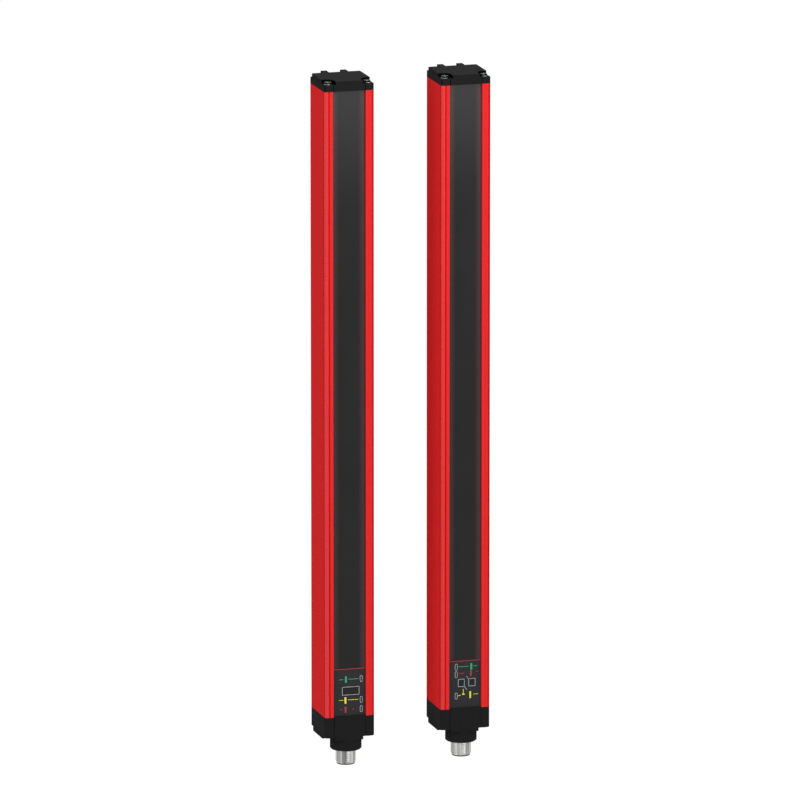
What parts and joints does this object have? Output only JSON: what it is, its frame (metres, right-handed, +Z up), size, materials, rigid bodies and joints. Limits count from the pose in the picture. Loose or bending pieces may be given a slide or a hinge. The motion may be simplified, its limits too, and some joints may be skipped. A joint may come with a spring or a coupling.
{
  "type": "safety light curtain",
  "caption": "Pair of upright light curtain bars: red extruded housings with smoked windows, black end caps, indicator panels and round threaded connectors.",
  "frame": {"origin": "mouth of the receiver's rear slot, on its centre line, half way up its housing", "axes": "+Z up the bars, +Y out of the rear slot, so that the windows look to -Y, +X from the receiver to the emitter"},
  "size_m": [0.0931, 0.032, 0.3782],
  "materials": {
    "red_paint": "satin powder coat",
    "smoked_window": "glossy, infrared passing",
    "printed_foil": "satin printed foil",
    "black_cap": "fine moulded texture",
    "black_rubber": "soft, matte",
    "nickel": "satin nickel plating",
    "screw_steel": "zinc plated",
    "contact_gold": "gold plated",
    "insert_plastic": "moulded",
    "carrier_plastic": "moulded, light absorbing",
    "clear_plastic": "clear moulded",
    "lens_plastic": "dark infrared passing",
    "circuit_board": "green solder mask",
    "chip_plastic": "moulded",
    "foam": "closed-cell foam",
    "display_plastic": "dark red filter",
    "light_plastic": "pale lens",
    "cable_film": "amber film"
  },
  "bodies": {
    "root": {"receiver_housing": "red_paint", "receiver_window": "smoked_window", "receiver_window_seals": "black_rubber", "receiver_indicator_foil": "printed_foil", "receiver_optics_carrier": "carrier_plastic", "receiver_lens_strip": "lens_plastic", "receiver_end_pad": "foam", "receiver_main_board": "circuit_board", "receiver_control_chips": "chip_plastic", "receiver_earth_spring": "screw_steel", "receiver_panel_board": "circuit_board", "receiver_board_header": "chip_plastic", "receiver_panel_frame": "carrier_plastic", "receiver_light_guides": "clear_plastic", "receiver_status_lights": "light_plastic", "receiver_digit_displays": "display_plastic", "receiver_top_cap": "black_cap", "receiver_top_gasket": "black_rubber", "receiver_top_screws": "screw_steel", "receiver_bottom_cap": "black_cap", "receiver_bottom_gasket": "black_rubber", "receiver_bottom_screws": "screw_steel", "receiver_connector_shell": "nickel", "receiver_connector_seal": "black_rubber", "receiver_connector_lock_nut": "nickel", "receiver_connector_insert": "insert_plastic", "receiver_connector_pins": "contact_gold", "receiver_leads_board": "circuit_board", "receiver_flat_cable": "cable_film", "receiver_photodiodes": "lens_plastic", "emitter_housing": "red_paint", "emitter_window": "smoked_window", "emitter_window_seals": "black_rubber", "emitter_indicator_foil": "printed_foil", "emitter_optics_carrier": "carrier_plastic", "emitter_lens_strip": "lens_plastic", "emitter_end_pad": "foam", "emitter_main_board": "circuit_board", "emitter_control_chips": "chip_plastic", "emitter_earth_spring": "screw_steel", "emitter_panel_board": "circuit_board", "emitter_board_header": "chip_plastic", "emitter_panel_frame": "carrier_plastic", "emitter_light_guides": "clear_plastic", "emitter_status_lights": "light_plastic", "emitter_digit_displays": "display_plastic", "emitter_top_cap": "black_cap", "emitter_top_gasket": "black_rubber", "emitter_top_screws": "screw_steel", "emitter_bottom_cap": "black_cap", "emitter_bottom_gasket": "black_rubber", "emitter_bottom_screws": "screw_steel", "emitter_connector_shell": "nickel", "emitter_connector_seal": "black_rubber", "emitter_connector_lock_nut": "nickel", "emitter_connector_insert": "insert_plastic", "emitter_connector_pins": "contact_gold", "emitter_leads_board": "circuit_board", "emitter_flat_cable": "cable_film", "emitter_infrared_diodes": "lens_plastic"}
  },
  "joints": []
}
